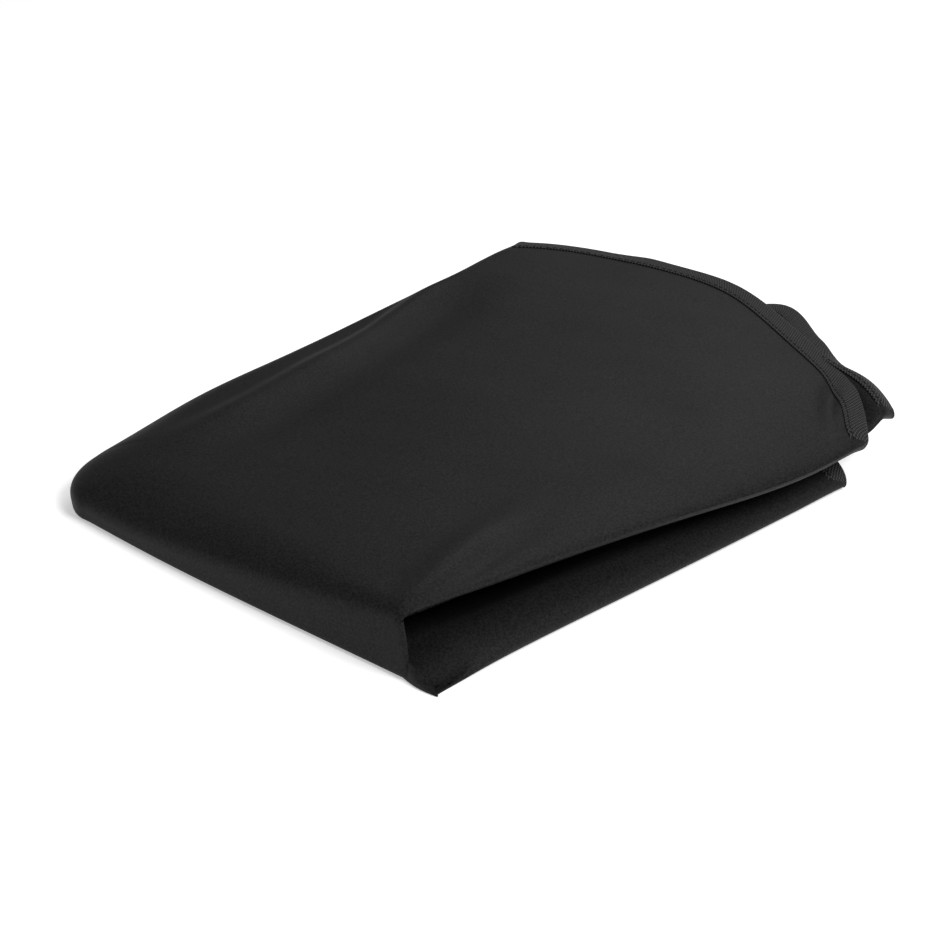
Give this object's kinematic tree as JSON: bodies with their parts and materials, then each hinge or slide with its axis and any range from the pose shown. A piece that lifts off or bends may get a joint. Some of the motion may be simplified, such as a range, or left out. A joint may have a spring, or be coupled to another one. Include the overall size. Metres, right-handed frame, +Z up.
{
  "type": "folded grill cover",
  "caption": "Black coated-cloth grill cover, folded flat into a soft rectangular pack with tucked gussets and a tape-bound hem.",
  "frame": {"origin": "on the floor, at the middle of the folded pack's box", "axes": "+Z up, through the thin way of the pack; +Y from the crown's fold to the open mouth, the pack's long way; +X towards the right gusset, whose tuck stands open"},
  "size_m": [0.2671, 0.3476, 0.043],
  "materials": {
    "cover_cloth": "matte coated plain weave with a soft sheen",
    "hem_tape": "matte ribbed woven tape",
    "thread": "matte twisted polyester thread"
  },
  "bodies": {
    "floor_leaf": {"main_panel_floor_leaf": "cover_cloth", "main_panel_floor_leaf_hem_tape": "hem_tape", "main_panel_floor_leaf_hem_stitching": "thread", "right_gusset_lower_ply": "cover_cloth", "right_gusset_lower_ply_hem_tape": "hem_tape", "right_gusset_lower_ply_hem_stitching": "thread", "right_gusset_flap_fold": "cover_cloth", "right_gusset_flap_fold_hem_tape": "hem_tape", "left_gusset_side_fold": "cover_cloth", "left_gusset_side_fold_hem_tape": "hem_tape", "main_panel_crown_wrap": "cover_cloth", "right_gusset_corner_fold": "cover_cloth", "right_floor_seam": "thread", "left_floor_seam": "thread"},
    "middle_leaf": {"right_gusset_upper_ply": "cover_cloth", "right_gusset_upper_ply_hem_tape": "hem_tape", "right_gusset_upper_ply_hem_stitching": "thread", "left_gusset_lower_ply": "cover_cloth", "left_gusset_lower_ply_hem_tape": "hem_tape", "left_gusset_lower_ply_hem_stitching": "thread", "right_gusset_root_fold": "cover_cloth", "right_gusset_root_fold_hem_tape": "hem_tape"},
    "top_leaf": {"main_panel_top_leaf": "cover_cloth", "main_panel_top_leaf_hem_tape": "hem_tape", "main_panel_top_leaf_hem_stitching": "thread", "left_gusset_upper_ply": "cover_cloth", "left_gusset_upper_ply_hem_tape": "hem_tape", "left_gusset_upper_ply_hem_stitching": "thread", "main_panel_right_lip": "cover_cloth", "main_panel_right_lip_hem_tape": "hem_tape", "left_gusset_root_fold": "cover_cloth", "left_gusset_root_fold_hem_tape": "hem_tape", "main_panel_left_fold": "cover_cloth", "main_panel_left_fold_hem_tape": "hem_tape", "right_lip_seam": "thread", "left_edge_seam": "thread"}
  },
  "joints": [
    {"name": "top_leaf_lift", "type": "hinge", "parent": "floor_leaf", "child": "top_leaf", "pos_m": [0, -0.1545, 0.03], "axis": [1, 0, 0], "range_deg": [0, 30]},
    {"name": "middle_leaf_lift", "type": "hinge", "parent": "floor_leaf", "child": "middle_leaf", "pos_m": [0, -0.1545, 0.03], "axis": [1, 0, 0], "range_deg": [0, 15]}
  ],
  "couplings": [
    {"joint": "middle_leaf_lift", "follows": "top_leaf_lift", "ratio": 0.5}
  ]
}
